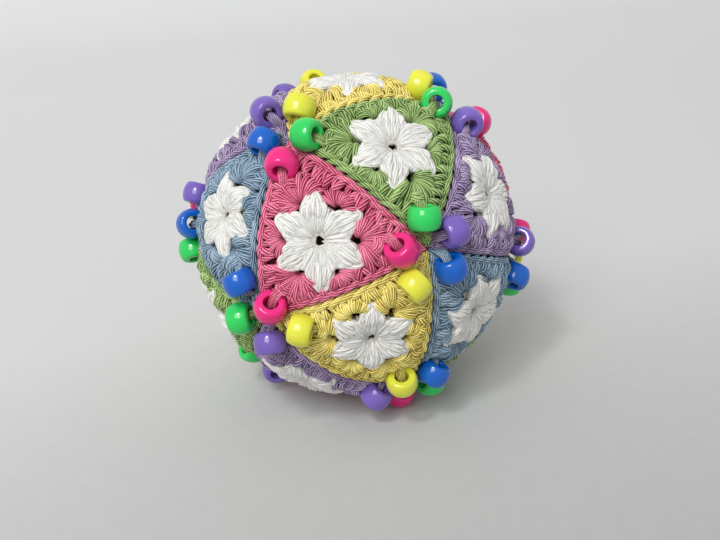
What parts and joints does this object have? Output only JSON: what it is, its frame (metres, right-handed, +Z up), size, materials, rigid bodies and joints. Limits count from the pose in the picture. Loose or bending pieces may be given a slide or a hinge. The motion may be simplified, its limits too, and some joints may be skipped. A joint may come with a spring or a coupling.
{
  "type": "pin cushion",
  "caption": "Stuffed ball of crocheted triangular star motifs in five pastel colours, with glossy barrel beads threaded on yarn loops at the motif corners.",
  "frame": {"origin": "centre of the stuffed ball", "axes": "+Z up through the middle of the top yellow motif, -Y towards the front of the ball, +X to the viewer's right"},
  "size_m": [0.1073, 0.1026, 0.0971],
  "materials": {
    "fibre_filling": "loose white polyester fibre",
    "seam_yarn": "matt cotton yarn, in the colours of the two motifs it joins",
    "white_yarn": "soft mercerised cotton yarn with a slight sheen",
    "yellow_yarn": "soft mercerised cotton yarn with a slight sheen",
    "green_yarn": "soft mercerised cotton yarn with a slight sheen",
    "blue_yarn": "soft mercerised cotton yarn with a slight sheen",
    "lavender_yarn": "soft mercerised cotton yarn with a slight sheen",
    "pink_yarn": "soft mercerised cotton yarn with a slight sheen",
    "yellow_bead": "glossy opaque moulded plastic",
    "green_bead": "glossy opaque moulded plastic",
    "blue_bead": "glossy opaque moulded plastic",
    "lavender_bead": "glossy opaque moulded plastic",
    "pink_bead": "glossy opaque moulded plastic",
    "mixed_beads": "glossy opaque moulded plastic, one bead of each of the five bead colours"
  },
  "bodies": {
    "ball": {"stuffing": "fibre_filling", "joining_seams": "seam_yarn", "stars_yellow": "white_yarn", "stars_green": "white_yarn", "stars_blue": "white_yarn", "stars_lavender": "white_yarn", "stars_pink": "white_yarn", "border_yellow_1": "yellow_yarn", "border_yellow_2": "yellow_yarn", "border_yellow_3": "yellow_yarn", "border_yellow_4": "yellow_yarn", "border_green_1": "green_yarn", "border_green_2": "green_yarn", "border_green_3": "green_yarn", "border_green_4": "green_yarn", "border_blue_1": "blue_yarn", "border_blue_2": "blue_yarn", "border_blue_3": "blue_yarn", "border_blue_4": "blue_yarn", "border_lavender_1": "lavender_yarn", "border_lavender_2": "lavender_yarn", "border_lavender_3": "lavender_yarn", "border_lavender_4": "lavender_yarn", "border_pink_1": "pink_yarn", "border_pink_2": "pink_yarn", "border_pink_3": "pink_yarn", "border_pink_4": "pink_yarn", "beads_upper_back": "mixed_beads", "beads_back_right": "mixed_beads", "beads_left": "mixed_beads", "beads_back": "mixed_beads", "beads_bottom_right": "mixed_beads", "beads_bottom_left": "mixed_beads", "beads_bottom_front": "mixed_beads"},
    "bead_front_left_yellow": {"bead_front_left_yellow": "yellow_bead"},
    "bead_front_left_green": {"bead_front_left_green": "green_bead"},
    "bead_front_left_blue": {"bead_front_left_blue": "blue_bead"},
    "bead_front_left_lavender": {"bead_front_left_lavender": "lavender_bead"},
    "bead_front_left_pink": {"bead_front_left_pink": "pink_bead"},
    "bead_front_right_yellow": {"bead_front_right_yellow": "yellow_bead"},
    "bead_front_right_green": {"bead_front_right_green": "green_bead"},
    "bead_front_right_blue": {"bead_front_right_blue": "blue_bead"},
    "bead_front_right_lavender": {"bead_front_right_lavender": "lavender_bead"},
    "bead_front_right_pink": {"bead_front_right_pink": "pink_bead"},
    "bead_lower_left_yellow": {"bead_lower_left_yellow": "yellow_bead"},
    "bead_lower_left_green": {"bead_lower_left_green": "green_bead"},
    "bead_lower_left_blue": {"bead_lower_left_blue": "blue_bead"},
    "bead_lower_left_lavender": {"bead_lower_left_lavender": "lavender_bead"},
    "bead_lower_left_pink": {"bead_lower_left_pink": "pink_bead"},
    "bead_right_yellow": {"bead_right_yellow": "yellow_bead"},
    "bead_right_green": {"bead_right_green": "green_bead"},
    "bead_right_blue": {"bead_right_blue": "blue_bead"},
    "bead_right_lavender": {"bead_right_lavender": "lavender_bead"},
    "bead_right_pink": {"bead_right_pink": "pink_bead"},
    "bead_upper_right_yellow": {"bead_upper_right_yellow": "yellow_bead"},
    "bead_upper_right_green": {"bead_upper_right_green": "green_bead"},
    "bead_upper_right_blue": {"bead_upper_right_blue": "blue_bead"},
    "bead_upper_right_lavender": {"bead_upper_right_lavender": "lavender_bead"},
    "bead_upper_right_pink": {"bead_upper_right_pink": "pink_bead"}
  },
  "joints": [
    {"name": "spin_front_left_yellow", "type": "hinge", "parent": "ball", "child": "bead_front_left_yellow", "pos_m": [-0.01225, -0.01922, 0.0436], "axis": [0.2859, 0.5367, 0.7938], "continuous": true},
    {"name": "spin_front_left_green", "type": "hinge", "parent": "ball", "child": "bead_front_left_green", "pos_m": [-0.01049, -0.02885, 0.03845], "axis": [0.8386, -0.543, 0.0436], "continuous": true},
    {"name": "spin_front_left_blue", "type": "hinge", "parent": "ball", "child": "bead_front_left_blue", "pos_m": [-0.02214, -0.02488, 0.03621], "axis": [-0.5002, -0.5399, -0.677], "continuous": true},
    {"name": "spin_front_left_lavender", "type": "hinge", "parent": "ball", "child": "bead_front_left_lavender", "pos_m": [-0.0217, -0.01353, 0.04203], "axis": [-0.418, 0.9053, 0.0757], "continuous": true},
    {"name": "spin_front_left_pink", "type": "hinge", "parent": "ball", "child": "bead_front_left_pink", "pos_m": [-0.01749, -0.03294, 0.03209], "axis": [-0.121, -0.8848, -0.45], "continuous": true},
    {"name": "spin_front_right_yellow", "type": "hinge", "parent": "ball", "child": "bead_front_right_yellow", "pos_m": [0.0144, -0.04702, 0.00143], "axis": [-0.75, -0.3381, -0.5685], "continuous": true},
    {"name": "spin_front_right_green", "type": "hinge", "parent": "ball", "child": "bead_front_right_green", "pos_m": [0.01804, -0.04218, 0.01777], "axis": [0.0302, 0.1285, 0.9912], "continuous": true},
    {"name": "spin_front_right_blue", "type": "hinge", "parent": "ball", "child": "bead_front_right_blue", "pos_m": [0.02436, -0.04259, 0.00363], "axis": [0.2655, 0.0699, -0.9616], "continuous": true},
    {"name": "spin_front_right_lavender", "type": "hinge", "parent": "ball", "child": "bead_front_right_lavender", "pos_m": [0.02564, -0.04004, 0.01268], "axis": [0.9003, 0.4096, 0.147], "continuous": true},
    {"name": "spin_front_right_pink", "type": "hinge", "parent": "ball", "child": "bead_front_right_pink", "pos_m": [0.01158, -0.04654, 0.01097], "axis": [-0.4012, -0.53, 0.7471], "continuous": true},
    {"name": "spin_lower_left_yellow", "type": "hinge", "parent": "ball", "child": "bead_lower_left_yellow", "pos_m": [-0.01602, -0.04554, -0.00946], "axis": [0.9507, -0.1894, -0.2454], "continuous": true},
    {"name": "spin_lower_left_green", "type": "hinge", "parent": "ball", "child": "bead_lower_left_green", "pos_m": [-0.03277, -0.03554, -0.00916], "axis": [-0.968, 0.1503, -0.2008], "continuous": true},
    {"name": "spin_lower_left_blue", "type": "hinge", "parent": "ball", "child": "bead_lower_left_blue", "pos_m": [-0.03144, -0.03777, 0.00226], "axis": [-0.3668, 0.2454, 0.8973], "continuous": true},
    {"name": "spin_lower_left_lavender", "type": "hinge", "parent": "ball", "child": "bead_lower_left_lavender", "pos_m": [-0.02503, -0.03954, -0.01518], "axis": [0.0773, -0.4144, -0.9068], "continuous": true},
    {"name": "spin_lower_left_pink", "type": "hinge", "parent": "ball", "child": "bead_lower_left_pink", "pos_m": [-0.02352, -0.04308, -0.0034], "axis": [0.1707, -0.6354, 0.7531], "continuous": true},
    {"name": "spin_right_yellow", "type": "hinge", "parent": "ball", "child": "bead_right_yellow", "pos_m": [0.04724, 0.00552, -0.0126], "axis": [0.0244, 0.9526, -0.3034], "continuous": true},
    {"name": "spin_right_green", "type": "hinge", "parent": "ball", "child": "bead_right_green", "pos_m": [0.04561, -0.00232, -0.0183], "axis": [-0.1703, 0.0155, -0.9853], "continuous": true},
    {"name": "spin_right_blue", "type": "hinge", "parent": "ball", "child": "bead_right_blue", "pos_m": [0.04623, -0.01081, -0.0129], "axis": [-0.4224, -0.6117, -0.6689], "continuous": true},
    {"name": "spin_right_lavender", "type": "hinge", "parent": "ball", "child": "bead_right_lavender", "pos_m": [0.04847, -0.00782, -0.00315], "axis": [-0.2652, -0.7796, 0.5673], "continuous": true},
    {"name": "spin_right_pink", "type": "hinge", "parent": "ball", "child": "bead_right_pink", "pos_m": [0.04902, 0.0023, -0.00349], "axis": [0.2379, 0.57, 0.7864], "continuous": true},
    {"name": "spin_upper_right_yellow", "type": "hinge", "parent": "ball", "child": "bead_upper_right_yellow", "pos_m": [0.02127, -0.00324, 0.04425], "axis": [-0.8983, 0.2602, 0.354], "continuous": true},
    {"name": "spin_upper_right_green", "type": "hinge", "parent": "ball", "child": "bead_upper_right_green", "pos_m": [0.02523, -0.01126, 0.04071], "axis": [-0.1099, -0.9709, 0.213], "continuous": true},
    {"name": "spin_upper_right_blue", "type": "hinge", "parent": "ball", "child": "bead_upper_right_blue", "pos_m": [0.02549, 0.00529, 0.04175], "axis": [-0.1456, 0.9665, 0.2114], "continuous": true},
    {"name": "spin_upper_right_lavender", "type": "hinge", "parent": "ball", "child": "bead_upper_right_lavender", "pos_m": [0.03358, -0.0107, 0.03433], "axis": [0.1722, -0.9605, -0.2189], "continuous": true},
    {"name": "spin_upper_right_pink", "type": "hinge", "parent": "ball", "child": "bead_upper_right_pink", "pos_m": [0.03763, 0.00133, 0.03166], "axis": [0.3753, 0.7933, -0.4794], "continuous": true}
  ]
}
